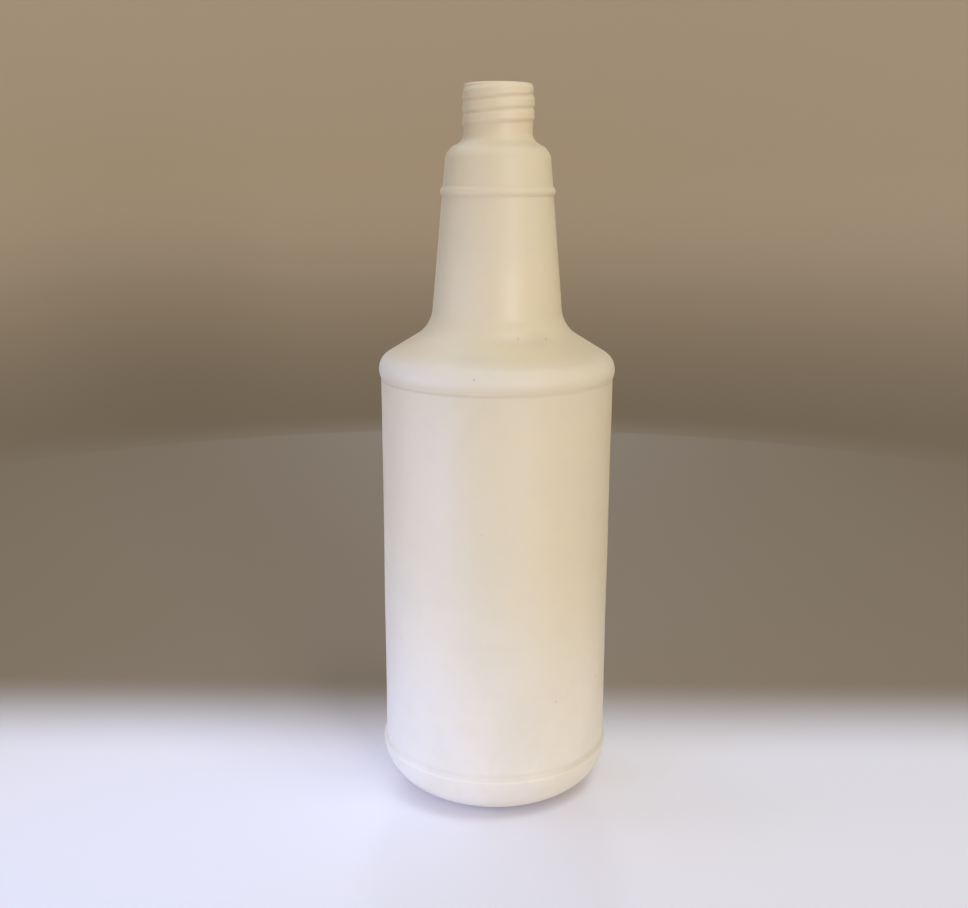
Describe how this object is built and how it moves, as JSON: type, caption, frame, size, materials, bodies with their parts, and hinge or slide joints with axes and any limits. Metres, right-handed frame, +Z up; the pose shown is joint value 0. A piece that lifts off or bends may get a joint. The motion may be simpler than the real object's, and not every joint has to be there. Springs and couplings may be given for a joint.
{
  "type": "plastic bottle",
  "caption": "Empty round plastic bottle with a recessed label panel, a bulging shoulder, a long tapering grip neck with a bead, and an open screw-threaded mouth.",
  "frame": {"origin": "centre of the base, on the plane that the bottle stands on", "axes": "+Z up along the bottle's axis, out of the mouth; the mould's parting plane is y = 0"},
  "size_m": [0.088, 0.088, 0.2635],
  "materials": {
    "bottle_plastic": "satin natural polyethylene, slightly translucent"
  },
  "bodies": {
    "root": {"bottle": "bottle_plastic"}
  },
  "joints": []
}
